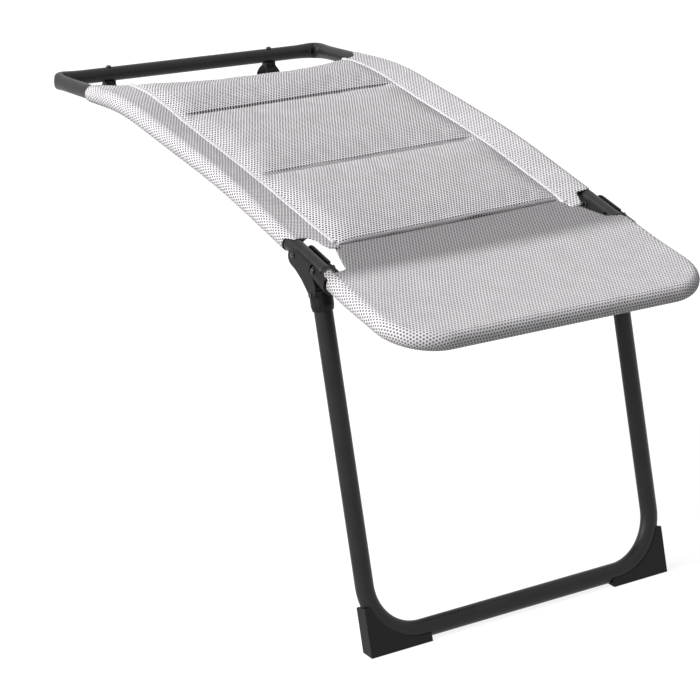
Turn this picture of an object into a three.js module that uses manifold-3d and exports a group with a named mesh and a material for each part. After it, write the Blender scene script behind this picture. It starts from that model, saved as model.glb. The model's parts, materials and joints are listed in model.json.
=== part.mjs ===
// Clip-on folding footrest for a patio or camping chair.
// Millimetres, +Z up, +Y towards the chair, +X to the right. The origin is on the floor, below the
// middle of the bounding box.

import * as THREE from 'three';
import { mergeVertices } from 'three/addons/utils/BufferGeometryUtils.js';
import Module from 'manifold-3d';

const wasm = await Module();
wasm.setup();

// Clearances
const seatGap = 0.3;
const runGap = 0.7;
const seamGap = 0.6;
const cutOver = 60;

// Frame loop: side rails, chair-end bar and front bar. The rails climb at four slopes, with the ease,
// the knee and the crest between them. Reach is measured from the foot bar, height from the floor.
// The rail is straight beside the pivot, so the ease keeps its distance before it.
const railSpacing = 405;
const railDiameter = 19;
const railWall = 1.2;
const frontBarReach = -65.5;
const frontBarHeight = 374.9;
const easeBefore = 102.5;
const kneeReach = 320;
const crestReach = 567;
const rearBarReach = 771.7;
const frontSlope = THREE.MathUtils.degToRad(11.83);
const railSlope = THREE.MathUtils.degToRad(14.67);
const upperSlope = THREE.MathUtils.degToRad(9.785);
const endSlope = THREE.MathUtils.degToRad(-1.511);
const easeRadius = 600;
const kneeRadius = 1500;
const crestRadius = 480;
const frontCornerRadius = 52;
const rearCornerRadius = 17;

// Leg frame: oval tube bent to a U, its feet forward of its top. The pivot lies behind the tube, and
// heights on the leg are drops below the pivot.
const legTubeWidth = 22;
const legTubeDepth = 18;
const legWall = 1.4;
const legBendRadius = 64;
const pivotSetback = 25.65;
const legTubeDrop = 38.6;
const soleThickness = 1.5;
const foldRange = THREE.MathUtils.degToRad(115);

// Pivot on the rail and the socket around it
const pivotReach = 142.5;
const cheekThickness = 3.2;
const cheekEndRadius = 10;
const cheekSink = 2.5;
const cheekForward = 36;
const socketWall = 2.6;
const socketLipDrop = 63.6;
const socketChamfer = 6;
const socketFootDrop = 46.6;
const socketRivetDrop = 44.6;

// Saddle under the rail, which is also the stop of the open leg
const saddleDepth = 16;
const saddleFront = 66;
const saddleHug = THREE.MathUtils.degToRad(32);
const saddleRivetBack = 6;
const saddleRivetRise = 3;
const spigotWall = 1.6;
const spigotTail = 14;
const spigotNose = 28;

// Rivets and screws
const pivotShankRadius = 2.5;
const pivotHeadRadius = 3.8;
const pivotHeadRise = 1.3;
const rivetShankRadius = 1.8;
const rivetHeadRadius = 3.3;
const rivetHeadRise = 1.2;
const clipShankRadius = 2.1;
const clipHeadRadius = 3.6;
const clipHeadRise = 2.4;
const screwRadius = 1.8;
const screwHeadRadius = 3.4;
const screwHeadDepth = 2.2;
const screwSeatRise = -8;
const screwTipRise = 9;
const screwInset = 22;

// Feet
const footOverhang = 9;
const footRise = 41;
const footLength = 81.5;
const footHug = 5;

// Chair clips under the chair-end bar
const clipSpacing = 248;
const clipWidth = 24;
const clipNeck = 15;
const clipBoreRadius = 10.5;
const clipWall = 3;
const clipWeb = 5;
const clipRivetSeat = 2.6;
const clipTip = THREE.MathUtils.degToRad(18);
const clipBlockHalf = 6;
const clipHugDepth = 3;

// Fabric. The rails are bare beside the pivot and near the chair-end bar.
const clothThickness = 2;
const bareRear = 116.7;
const bandRearInset = 23;
const padRearInset = 22;
const bareBefore = 66.5;
const bareAfter = 25;
const seamAfter = 9.5;
const bandWidth = 41.5;
const bandRise = 4;
const middleSeamShare = 0.3535;
const rearSeamShare = 0.761;
const padCrown = 9;
const padBelly = 5;
const padEdge = 1.2;
const coverSag = 3;

// Facets
const roundSides = 16;
const boreSides = 10;
const smallSides = 12;
const padColumns = 12;
const padRows = 8;
const coverColumns = 12;
const coverCornerSteps = 6;
const coverSideRows = 2;
const coverRearRows = 5;

// Sizes that follow from those above
const railRadius = railDiameter / 2;
const railBoreRadius = railRadius - railWall;
const halfSpacing = railSpacing / 2;
const halfLegWidth = legTubeWidth / 2;
const halfLegDepth = legTubeDepth / 2;
const footBarHeight = halfLegWidth + soleThickness;
const cheekInner = railRadius + runGap;
const cheekOuter = cheekInner + cheekThickness;
const cupDepth = halfLegDepth + seatGap + socketWall;
const sleeveInner = railRadius + seatGap;
const sleeveOuter = sleeveInner + clothThickness;
const bandInnerHalf = halfSpacing - bandWidth;
const sleeveRearEnd = rearBarReach - bareRear;
const bandRearEnd = sleeveRearEnd - bandRearInset;
const rearPadEnd = sleeveRearEnd - padRearInset;
const bandFrontEnd = pivotReach + bareAfter;
const frontSeam = pivotReach + seamAfter;
const middleSeam = THREE.MathUtils.lerp(frontSeam, rearPadEnd, middleSeamShare);
const rearSeam = THREE.MathUtils.lerp(frontSeam, rearPadEnd, rearSeamShare);
const coverSleeveEnd = pivotReach - bareBefore;
const footOuter = halfSpacing + footOverhang;
const footTail = footOuter - footLength;
const rivetGrip = 2 * (cheekOuter + seatGap);

// Finishes
const coatedTube = { color: 0x35363a, roughness: 0.42, metalness: 0.3 };
const blackPlastic = { color: 0x1d1d1e, roughness: 0.5, metalness: 0 };
const darkMetal = { color: 0x3a3a3c, roughness: 0.4, metalness: 0.7 };
const meshCloth = { color: 0xc2c2c5, roughness: 0.95, metalness: 0 };
const paddedCloth = { color: 0xc8c8cb, roughness: 0.95, metalness: 0 };

function part(name, geometry, finish) {
  const mesh = new THREE.Mesh(geometry, new THREE.MeshStandardMaterial(finish));
  mesh.name = name;
  return mesh;
}

// Booleans

function toSolid(geometry) {
  const bare = geometry.clone();
  bare.deleteAttribute('normal');
  bare.deleteAttribute('uv');
  const merged = mergeVertices(bare);
  const vertProperties = new Float32Array(merged.attributes.position.array);
  const triVerts = new Uint32Array(merged.index.array);
  return new wasm.Manifold(new wasm.Mesh({ numProp: 3, vertProperties, triVerts }));
}

function toGeometry(solid) {
  const mesh = solid.getMesh();
  const geometry = new THREE.BufferGeometry();
  geometry.setAttribute('position', new THREE.BufferAttribute(mesh.vertProperties, 3));
  geometry.setIndex(new THREE.BufferAttribute(mesh.triVerts, 1));
  geometry.computeVertexNormals();
  return geometry;
}

function cut(geometry, ...tools) {
  return toGeometry(tools.reduce((solid, tool) => solid.subtract(toSolid(tool)), toSolid(geometry)));
}

function join(...pieces) {
  return toGeometry(pieces.map(toSolid).reduce((solid, piece) => solid.add(piece)));
}

function common(geometry, other) {
  return toGeometry(toSolid(geometry).intersect(toSolid(other)));
}

// A route's stations are the given points, with none added between them

class Route extends THREE.Curve {
  constructor(points) {
    super();
    this.points = points;
    this.last = points.length - 1;
  }

  getPointAt(share) {
    return this.points[Math.round(share * this.last)].clone();
  }

  getTangentAt(share) {
    const here = Math.round(share * this.last);
    const first = Math.max(here - 1, 0);
    const into = this.points[first + 1].clone().sub(this.points[first]).normalize();
    const next = Math.min(here, this.last - 1);
    const out = this.points[next + 1].clone().sub(this.points[next]).normalize();
    return into.add(out).normalize();
  }

  getSpacedPoints() {
    return this.points.map((point) => point.clone());
  }
}

function filletPoints(before, corner, after, radius, steps) {
  const back = before.clone().sub(corner).normalize();
  const ahead = after.clone().sub(corner).normalize();
  const half = back.angleTo(ahead) / 2;
  const middle = back.clone().add(ahead).normalize();
  const centre = corner.clone().addScaledVector(middle, radius / Math.sin(half));
  const start = corner.clone().addScaledVector(back, radius / Math.tan(half)).sub(centre);
  const axis = back.clone().negate().cross(ahead).normalize();
  const turn = Math.PI - 2 * half;
  return Array.from({ length: steps + 1 }, (_, step) => (
    start.clone().applyAxisAngle(axis, (turn * step) / steps).add(centre)
  ));
}

// Each corner is { at, radius, steps }; one without a radius is a plain point
function bentPoints(corners) {
  return corners.flatMap((corner, index) => (
    corner.radius
      ? filletPoints(corners[index - 1].at, corner.at, corners[index + 1].at, corner.radius, corner.steps)
      : [corner.at.clone()]
  ));
}

function sweep(section, points) {
  return new THREE.ExtrudeGeometry(section, {
    steps: points.length - 1, bevelEnabled: false, extrudePath: new Route(points), curveSegments: 1,
  });
}

function ovalPoints(across, within, sides) {
  return Array.from({ length: sides }, (_, side) => {
    const angle = (2 * Math.PI * side) / sides;
    return new THREE.Vector2(across * Math.cos(angle), within * Math.sin(angle));
  });
}

// The first radius lies across the plane of the bend, the second in it
function fullSection(across, within) {
  return new THREE.Shape(ovalPoints(across, within, roundSides));
}

function tubeSection(across, within, wall, sides = boreSides) {
  const section = fullSection(across, within);
  section.holes.push(new THREE.Path(ovalPoints(across - wall, within - wall, sides).reverse()));
  return section;
}

// Plain solids

function rod(radius, length, sides = smallSides) {
  return new THREE.CylinderGeometry(radius, radius, length, sides);
}

function rodAlongX(radius, length, reach = 0, rise = 0) {
  return rod(radius, length).rotateZ(Math.PI / 2).translate(0, reach, rise);
}

// An outline drawn as (reach, height), given width across X
function sideSolid(outline, width) {
  return new THREE.ExtrudeGeometry(new THREE.Shape(outline), { depth: width, bevelEnabled: false })
    .translate(0, 0, -width / 2)
    .rotateY(Math.PI / 2)
    .rotateX(Math.PI / 2);
}

// An outline drawn as (across, height), given depth along Y
function frontSolid(outline, depth) {
  return new THREE.ExtrudeGeometry(new THREE.Shape(outline), { depth, bevelEnabled: false })
    .translate(0, 0, -depth / 2)
    .rotateX(Math.PI / 2);
}

// A shank with a domed head at each end, its axis along Y
function rivet(shank, head, rise, grip) {
  const domeShare = 0.62;
  const half = grip / 2;
  const profile = [
    [0, -half - rise], [head * domeShare, -half - rise], [head, -half], [shank, -half],
    [shank, half], [head, half], [head * domeShare, half + rise], [0, half + rise],
  ];
  return new THREE.LatheGeometry(profile.map(([x, y]) => new THREE.Vector2(x, y)), smallSides);
}

// Side line of the rails, from the front bar to the chair-end bar

function climb(from, toReach, slope) {
  return new THREE.Vector3(0, toReach, from.z + (toReach - from.y) * Math.tan(slope));
}

const frontEnd = new THREE.Vector3(0, frontBarReach, frontBarHeight);
const ease = climb(frontEnd, pivotReach - easeBefore, frontSlope);
const knee = climb(ease, kneeReach, railSlope);
const crest = climb(knee, crestReach, upperSlope);
const rearEnd = climb(crest, rearBarReach, endSlope);
const railAhead = new THREE.Vector3(0, Math.cos(railSlope), Math.sin(railSlope));
const pivotPoint = climb(ease, pivotReach, railSlope);

const easeBend = { at: ease, radius: easeRadius, steps: 2 };
const kneeBend = { at: knee, radius: kneeRadius, steps: 4 };
const crestBend = { at: crest, radius: crestRadius, steps: 5 };
const sideLine = bentPoints([{ at: frontEnd }, easeBend, kneeBend, crestBend, { at: rearEnd }]);
const stations = sideLine.reduce((list, point, index) => {
  list.push(index ? list[index - 1] + point.distanceTo(sideLine[index - 1]) : 0);
  return list;
}, []);

function segmentBefore(index) {
  return Math.min(Math.max(index, 1), sideLine.length - 1);
}

// A place on the side line at a distance along it from the front bar
function lineAt(distance) {
  const end = segmentBefore(stations.findIndex((station) => station >= distance));
  const ahead = sideLine[end].clone().sub(sideLine[end - 1]).normalize();
  const point = sideLine[end - 1].clone().addScaledVector(ahead, distance - stations[end - 1]);
  return { point, up: new THREE.Vector3(0, -ahead.z, ahead.y) };
}

function distanceAtReach(reach) {
  const end = segmentBefore(sideLine.findIndex((point) => point.y >= reach));
  const share = (reach - sideLine[end - 1].y) / (sideLine[end].y - sideLine[end - 1].y);
  return THREE.MathUtils.lerp(stations[end - 1], stations[end], share);
}

function linePoints(fromReach, toReach) {
  const from = distanceAtReach(fromReach);
  const to = distanceAtReach(toReach);
  const between = sideLine.filter((_, index) => stations[index] > from && stations[index] < to);
  return [lineAt(from).point, ...between, lineAt(to).point].map((point) => point.clone());
}

function atSide(point, side) {
  return point.clone().setX(side * halfSpacing);
}

function bendAtSide(bend, side) {
  return { ...bend, at: atSide(bend.at, side) };
}

function onRail(along) {
  return pivotPoint.clone().addScaledVector(railAhead, along);
}

// Frames of the rail at the pivot and of the leg at its foot bar

const railFrame = new THREE.Matrix4().makeRotationX(railSlope).setPosition(pivotPoint);
const footBar = new THREE.Vector3(0, 0, footBarHeight);
const legReach = pivotPoint.distanceTo(footBar);
const pivotBearing = Math.atan2(pivotPoint.y, pivotPoint.z - footBarHeight);
const legLean = pivotBearing - Math.asin(pivotSetback / legReach);
const pivotRise = Math.sqrt(legReach ** 2 - pivotSetback ** 2);
const legTubeRise = pivotRise - legTubeDrop;
const socketLip = pivotRise - socketLipDrop;
const socketFootRise = pivotRise - socketFootDrop;
const socketRivetRise = pivotRise - socketRivetDrop;
const legFrame = new THREE.Matrix4().makeRotationX(-legLean).setPosition(footBar);
const railInLeg = legFrame.clone().invert().multiply(railFrame);
const legInRail = railInLeg.clone().invert();
const floorInLeg = legFrame.clone().invert();

function framed(matrix, side, ...meshes) {
  const group = new THREE.Group();
  group.applyMatrix4(matrix);
  group.position.x = side * halfSpacing;
  group.add(...meshes);
  return group;
}

// Frame tubes, butted together above the saddles

const buttAlong = -(cheekForward + saddleFront) / 2;
const saddleRivetAlong = -(cheekForward + saddleRivetBack);

function crossHole(radius, along, rise, side) {
  return rodAlongX(radius + seatGap, cutOver, along, rise).applyMatrix4(railFrame)
    .translate(side * halfSpacing, 0, 0);
}

function clipRivetHole(side) {
  return rod(clipShankRadius + seatGap, cutOver).rotateX(Math.PI / 2)
    .translate(side * clipSpacing / 2, rearEnd.y, rearEnd.z);
}

function rearFrameTube() {
  const half = (side) => [
    { at: atSide(onRail(buttAlong + seatGap / 2), side) },
    bendAtSide(kneeBend, side),
    bendAtSide(crestBend, side),
    { at: atSide(rearEnd, side), radius: rearCornerRadius, steps: 5 },
  ];
  const points = bentPoints([...half(-1), ...half(1).reverse()]);
  const holes = [-1, 1].flatMap((side) => [
    crossHole(pivotShankRadius, 0, 0, side),
    crossHole(rivetShankRadius, saddleRivetAlong, saddleRivetRise, side),
    clipRivetHole(side),
  ]);
  return cut(sweep(tubeSection(railRadius, railRadius, railWall), points), ...holes);
}

function frontBend(side) {
  return { at: atSide(frontEnd, side), radius: frontCornerRadius, steps: coverCornerSteps };
}

function frontLoop(start) {
  const half = (side) => [{ at: atSide(start, side) }, bendAtSide(easeBend, side), frontBend(side)];
  return bentPoints([...half(-1), ...half(1).reverse()]);
}

function frontFrameTube() {
  const points = frontLoop(onRail(buttAlong - seatGap / 2));
  return sweep(tubeSection(railRadius, railRadius, railWall), points);
}

function jointSpigot() {
  const radius = railBoreRadius * Math.cos(Math.PI / boreSides) - seatGap;
  const front = buttAlong - spigotNose;
  const ends = [front, spigotTail].map((along) => new THREE.Vector3(0, along, 0));
  return cut(
    sweep(tubeSection(radius, radius, spigotWall), ends),
    rodAlongX(pivotShankRadius + seatGap, cutOver),
    rodAlongX(rivetShankRadius + seatGap, cutOver, saddleRivetAlong, saddleRivetRise),
  );
}

// Seat line between the socket and the saddle, drawn beside the rail as (along, up). Its first points
// are the cheeks' front edge, whose top corner swings ahead as the leg folds.

const seatAlongShares = [0.965, 1, 1.11, 1.23, 1.33, 1.43, 1.46];
const seatDropShares = [-3, 0.06, 0.17, 0.37, 0.56, 0.75, 1.03];
const seatEdgePoints = 2;
const cheekTop = cheekEndRadius - cheekSink;
const cheekSwing = Math.hypot(cheekForward, cheekTop) - cheekForward;

function seatBlock(shift, edgeShift) {
  const line = seatAlongShares.map((share, index) => {
    const ahead = index < seatEdgePoints ? edgeShift : shift;
    return new THREE.Vector2(-share * cheekForward - ahead, -seatDropShares[index] * saddleDepth);
  });
  const low = line[line.length - 1];
  const far = -cheekForward - 2 * cutOver;
  return sideSolid([...line, new THREE.Vector2(far, low.y), new THREE.Vector2(far, line[0].y)], cutOver);
}

function saddle() {
  const inner = (railRadius + seatGap) / Math.cos(Math.PI / roundSides);
  const steps = roundSides;
  const sweepAngle = Math.PI + 2 * saddleHug;
  const arc = (across, drop) => Array.from({ length: steps + 1 }, (_, step) => {
    const angle = saddleHug - (sweepAngle * step) / steps;
    const height = Math.sin(angle) * (angle > 0 || angle < -Math.PI ? across : drop);
    return new THREE.Vector2(across * Math.cos(angle), height);
  });
  const outline = [...arc(cheekOuter, saddleDepth), ...arc(inner, inner).reverse()];
  const trough = frontSolid(outline, saddleFront).translate(0, -saddleFront / 2, 0);
  return cut(
    common(trough, seatBlock(seatGap + seatGap / 2, seatGap + cheekSwing)),
    rodAlongX(rivetShankRadius + seatGap, cutOver, saddleRivetAlong, saddleRivetRise),
  );
}

// Leg socket: two cheeks on the pivot, an arm under the rail and a cup on the leg tube

const armAlongShares = [0.24, 0.62, 0.91, 1.18];
const armDropShares = [1.07, 1.42, 1.82, 2.25];

function legPointBesideRail(reach, rise) {
  const point = new THREE.Vector3(0, reach, rise).applyMatrix4(legInRail);
  return new THREE.Vector2(point.y, point.z);
}

function armOutline() {
  const steps = smallSides / 2;
  const end = Array.from({ length: steps + 1 }, (_, step) => {
    const angle = Math.PI / 2 - (Math.PI * step) / steps;
    return new THREE.Vector2(Math.cos(angle), Math.sin(angle)).multiplyScalar(cheekEndRadius);
  }).map((point) => point.setY(point.y - cheekSink));
  const drop = cheekEndRadius + cheekSink;
  const under = armAlongShares.map((share, index) => (
    new THREE.Vector2(-share * cheekForward, -armDropShares[index] * drop)
  ));
  const foot = legPointBesideRail(-halfLegDepth, socketFootRise);
  const front = new THREE.Vector2(foot.x, end[0].y);
  return [...end, ...under, foot, front];
}

function cupSolid(bottom, top, bottomHalf, topHalf) {
  const height = top - bottom;
  return new THREE.CylinderGeometry(topHalf, bottomHalf, height, roundSides)
    .rotateX(Math.PI / 2)
    .scale(1, cupDepth / cheekOuter, 1)
    .translate(0, 0, (top + bottom) / 2);
}

function railChannel() {
  const bore = rod(cheekInner, 4 * cutOver, roundSides);
  const slot = new THREE.BoxGeometry(2 * cheekInner, 4 * cutOver, cutOver).translate(0, 0, cutOver / 2);
  return join(bore, slot);
}

// What the folded rail sweeps between the cheeks
function foldSlot() {
  const length = cutOver + cheekEndRadius;
  return new THREE.BoxGeometry(2 * cheekInner, length, cutOver)
    .translate(0, length / 2 - cheekEndRadius, cutOver / 2 - cheekInner)
    .rotateX(-foldRange);
}

function legBore() {
  const shape = new THREE.Shape(ovalPoints(halfLegWidth + seatGap, halfLegDepth + seatGap, roundSides));
  return new THREE.ExtrudeGeometry(shape, { depth: cutOver, bevelEnabled: false })
    .translate(0, 0, legTubeRise + seatGap - cutOver);
}

function legSocket() {
  const arm = sideSolid(armOutline(), 2 * cheekOuter).applyMatrix4(railInLeg);
  const shoulder = socketLip + socketChamfer;
  const lipHalf = cheekOuter - socketWall / 2;
  const crown = legTubeRise + 2 * socketChamfer;
  const cup = cupSolid(shoulder, crown, cheekOuter, cheekOuter);
  const lip = cupSolid(socketLip, shoulder, lipHalf, cheekOuter);
  return cut(
    join(arm, cup, lip),
    railChannel().applyMatrix4(railInLeg),
    foldSlot().applyMatrix4(railInLeg),
    seatBlock(0, 0).applyMatrix4(railInLeg),
    rodAlongX(pivotShankRadius + seatGap, cutOver).applyMatrix4(railInLeg),
    rodAlongX(rivetShankRadius + seatGap, cutOver, 0, socketRivetRise),
    legBore(),
  );
}

// Leg tube and feet, in the leg's own frame

const legBendCentre = halfSpacing - legBendRadius;

function legLine() {
  const top = (side) => ({ at: new THREE.Vector3(side * halfSpacing, 0, legTubeRise) });
  const corner = (side) => ({
    at: new THREE.Vector3(side * halfSpacing, 0, 0), radius: legBendRadius, steps: 7,
  });
  return bentPoints([top(-1), corner(-1), corner(1), top(1)]);
}

function screwHole(side, radius, from, to) {
  return rod(radius, to - from).rotateX(Math.PI / 2)
    .translate(side * (halfSpacing - screwInset), 0, (from + to) / 2);
}

function legTube() {
  const tube = sweep(tubeSection(halfLegDepth, halfLegWidth, legWall), legLine());
  const holes = [-1, 1].flatMap((side) => [
    rodAlongX(rivetShankRadius + seatGap, cutOver, 0, socketRivetRise).translate(side * halfSpacing, 0, 0),
    screwHole(side, screwRadius + seatGap, -cutOver, screwTipRise + seatGap),
  ]);
  return cut(tube, ...holes);
}

function foot(side) {
  const radius = legBendRadius + footHug;
  const topAngle = Math.asin((legBendRadius - footRise) / radius);
  const steps = smallSides / 2;
  const inner = Array.from({ length: steps + 1 }, (_, step) => {
    const angle = THREE.MathUtils.lerp(topAngle, Math.PI / 2, step / steps);
    return [legBendCentre + radius * Math.cos(angle), legBendRadius - radius * Math.sin(angle)];
  });
  const low = -footBarHeight - legTubeDepth;
  const outline = [
    [footOuter, footRise], ...inner, [footTail, -footHug], [footTail, low], [footOuter, low],
  ];
  const block = frontSolid(outline.map(([x, z]) => new THREE.Vector2(side * x, z)), legTubeDepth);
  const groove = sweep(fullSection(halfLegDepth + seatGap, halfLegWidth + seatGap), legLine());
  const floor = new THREE.BoxGeometry(4 * halfSpacing, 2 * cutOver, cutOver)
    .translate(0, 0, -cutOver / 2)
    .applyMatrix4(floorInLeg);
  return cut(
    block,
    groove,
    floor,
    screwHole(side, screwRadius + seatGap, -cutOver, cutOver),
    screwHole(side, screwHeadRadius + seatGap, -cutOver, screwSeatRise),
  );
}

function footScrew() {
  const from = screwSeatRise - seatGap - screwHeadDepth / 2;
  const head = rod(screwHeadRadius, screwHeadDepth).translate(0, from, 0);
  const shank = rod(screwRadius, screwTipRise - from).translate(0, (screwTipRise + from) / 2, 0);
  return join(head, shank).rotateX(Math.PI / 2);
}

// Chair clip: a C open downwards, hung from the chair-end bar

function chairClip() {
  const centre = -(railRadius + seatGap + clipWeb + clipBoreRadius);
  const steps = smallSides;
  const arc = (radius) => Array.from({ length: steps + 1 }, (_, step) => {
    const angle = THREE.MathUtils.lerp(-clipTip, Math.PI + clipTip, step / steps);
    return new THREE.Vector2(radius * Math.cos(angle), centre + radius * Math.sin(angle));
  });
  const ring = sideSolid([...arc(clipBoreRadius + clipWall), ...arc(clipBoreRadius).reverse()], clipWidth);
  const hugTop = -(railRadius + seatGap) + clipHugDepth;
  const blockLow = centre + clipBoreRadius + clipWall / 2;
  const block = new THREE.BoxGeometry(clipNeck, 2 * clipBlockHalf, hugTop - blockLow)
    .translate(0, 0, (hugTop + blockLow) / 2);
  const tipLow = centre - clipBoreRadius - clipWall;
  const right = [
    [clipWidth / 2, tipLow], [clipWidth / 2, centre], [clipNeck / 2, -railRadius - clipWeb], [clipNeck / 2, 0],
  ];
  const left = right.map(([x, z]) => [-x, z]).reverse();
  const outline = [...left, ...right].map(([x, z]) => new THREE.Vector2(x, z));
  const barRadius = (railRadius + seatGap) / Math.cos(Math.PI / roundSides);
  const seat = -(railRadius + seatGap + clipRivetSeat);
  return cut(
    common(join(ring, block), frontSolid(outline, cutOver)),
    rod(barRadius, cutOver, roundSides).rotateZ(Math.PI / 2),
    rod(clipShankRadius + seatGap, cutOver).rotateX(Math.PI / 2),
    rod(clipHeadRadius + seatGap, cutOver).rotateX(Math.PI / 2).translate(0, 0, seat - cutOver / 2),
  );
}

function clipRivet() {
  const grip = 2 * railRadius + clipRivetSeat + 3 * seatGap;
  return rivet(clipShankRadius, clipHeadRadius, clipHeadRise, grip)
    .rotateX(Math.PI / 2)
    .translate(0, 0, railRadius + seatGap - grip / 2);
}

// Fabric. A grid solid has a top and a bottom skin; rows run to the rear, columns to the right.

function gridSolid(rows, columns, topAt, bottomAt) {
  const width = columns + 1;
  const layer = (rows + 1) * width;
  const places = Array.from({ length: layer }, (_, place) => [Math.floor(place / width), place % width]);
  const skins = [topAt, bottomAt].flatMap((skin) => places.flatMap(([row, column]) => (
    skin(row, column).toArray()
  )));
  const cells = places.filter(([row, column]) => row < rows && column < columns);
  const faces = cells.flatMap(([row, column]) => {
    const a = row * width + column;
    const [b, c, d] = [a + 1, a + width + 1, a + width];
    return [a, b, c, a, c, d, layer + a, layer + c, layer + b, layer + a, layer + d, layer + c];
  });
  const rim = [
    ...Array.from({ length: columns }, (_, column) => column),
    ...Array.from({ length: rows }, (_, row) => row * width + columns),
    ...Array.from({ length: columns }, (_, column) => rows * width + columns - column),
    ...Array.from({ length: rows }, (_, row) => (rows - row) * width),
  ];
  const walls = rim.flatMap((p, index) => {
    const q = rim[(index + 1) % rim.length];
    return [layer + p, layer + q, q, layer + p, q, p];
  });
  const geometry = new THREE.BufferGeometry();
  geometry.setAttribute('position', new THREE.Float32BufferAttribute(skins, 3));
  geometry.setIndex([...faces, ...walls]);
  geometry.computeVertexNormals();
  return geometry;
}

function onSheet(across, distance, rise) {
  const { point, up } = lineAt(distance);
  return point.clone().addScaledVector(up, rise).setX(across);
}

// Shares that crowd towards both ends, so that the drawn-in edges are well drawn
function crowded(step, steps) {
  return (1 - Math.cos((Math.PI * step) / steps)) / 2;
}

function swell(share, fullness) {
  return 1 - Math.abs(2 * share - 1) ** fullness;
}

function pad(fromReach, toReach) {
  const sideFullness = 7;
  const endFullness = 3;
  const from = distanceAtReach(fromReach) + seamGap / 2;
  const to = distanceAtReach(toReach) - seamGap / 2;
  const half = bandInnerHalf - seamGap;
  const skin = (edge, bulge) => (row, column) => {
    const across = crowded(column, padColumns);
    const along = crowded(row, padRows);
    const rise = bandRise + edge + bulge * swell(across, sideFullness) * swell(along, endFullness);
    return onSheet(THREE.MathUtils.lerp(-half, half, across), THREE.MathUtils.lerp(from, to, along), rise);
  };
  return gridSolid(padRows, padColumns, skin(padEdge, padCrown), skin(-padEdge, -padBelly));
}

// Band between a rail and the pads: its sleeve wraps the rail, its sheet runs in to the side seam
function bandSection(side) {
  const sheetTop = THREE.MathUtils.degToRad(70);
  const sheetUnder = THREE.MathUtils.degToRad(33);
  const steps = roundSides - 2;
  const wrap = Array.from({ length: steps + 1 }, (_, step) => {
    const angle = THREE.MathUtils.lerp(sheetTop, 2 * Math.PI + sheetUnder, step / steps);
    return [sleeveOuter * Math.cos(angle), sleeveOuter * Math.sin(angle)];
  });
  const outline = [
    ...wrap, [bandWidth, bandRise - clothThickness / 2], [bandWidth, bandRise + clothThickness / 2],
  ];
  const section = new THREE.Shape(outline.map(([x, y]) => new THREE.Vector2(side * x, y)));
  section.holes.push(new THREE.Path(ovalPoints(sleeveInner, sleeveInner, roundSides)));
  return section;
}

function sideBand(side) {
  const sleeveSection = tubeSection(sleeveOuter, sleeveOuter, clothThickness, roundSides);
  const tail = sweep(sleeveSection, linePoints(bandRearEnd - clothThickness, sleeveRearEnd));
  const band = sweep(bandSection(side), linePoints(bandFrontEnd, bandRearEnd));
  return join(band, tail).translate(side * halfSpacing, 0, 0);
}

// Front cover: full width in front of the pads, with a sleeve round the front bar

const coverStart = distanceAtReach(coverSleeveEnd);
const coverEnd = distanceAtReach(frontSeam) - seamGap / 2;

function coverRowDistances() {
  const corner = Array.from({ length: coverCornerSteps + 1 }, (_, step) => (
    frontCornerRadius * (1 - Math.cos((Math.PI / 2) * (step / coverCornerSteps)))
  ));
  const side = Array.from({ length: coverSideRows }, (_, step) => (
    THREE.MathUtils.lerp(frontCornerRadius, coverStart, (step + 1) / coverSideRows)
  ));
  const rear = Array.from({ length: coverRearRows }, (_, step) => (
    THREE.MathUtils.lerp(coverStart, coverEnd, (step + 1) / coverRearRows)
  ));
  return [...corner, ...side, ...rear];
}

function coverHalfWidth(distance) {
  const flare = 3;
  if (distance < frontCornerRadius) {
    const inset = frontCornerRadius - distance;
    return halfSpacing - frontCornerRadius + Math.sqrt(frontCornerRadius ** 2 - inset ** 2);
  }
  if (distance <= coverStart) return halfSpacing;
  const share = (coverEnd - distance) / (coverEnd - coverStart);
  return THREE.MathUtils.lerp(bandInnerHalf, halfSpacing, share ** flare);
}

function coverRise(distance, share) {
  const sagFullness = 2;
  const onBar = sleeveInner + clothThickness / 2;
  const back = THREE.MathUtils.smoothstep(distance, coverStart, coverEnd);
  const front = THREE.MathUtils.smoothstep(distance, 0, frontCornerRadius);
  const sag = coverSag * front * (1 - back) * swell(share, sagFullness);
  return THREE.MathUtils.lerp(onBar, bandRise, back) - sag;
}

function frontCover() {
  const distances = coverRowDistances();
  const skin = (offset) => (row, column) => {
    const share = crowded(column, coverColumns);
    const half = coverHalfWidth(distances[row]);
    const across = THREE.MathUtils.lerp(-half, half, share);
    return onSheet(across, distances[row], coverRise(distances[row], share) + offset);
  };
  const rows = distances.length - 1;
  const sheet = gridSolid(rows, coverColumns, skin(clothThickness / 2), skin(-clothThickness / 2));
  const section = tubeSection(sleeveOuter, sleeveOuter, clothThickness, roundSides);
  const sleeve = sweep(section, frontLoop(lineAt(coverStart).point));
  return join(sleeve, sheet);
}

// Assembly

const footrest = new THREE.Group();
const legs = new THREE.Group();
legs.applyMatrix4(legFrame);

footrest.add(part('rear_frame_tube', rearFrameTube(), coatedTube));
footrest.add(part('front_frame_tube', frontFrameTube(), coatedTube));
legs.add(part('leg_tube', legTube(), coatedTube));

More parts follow.
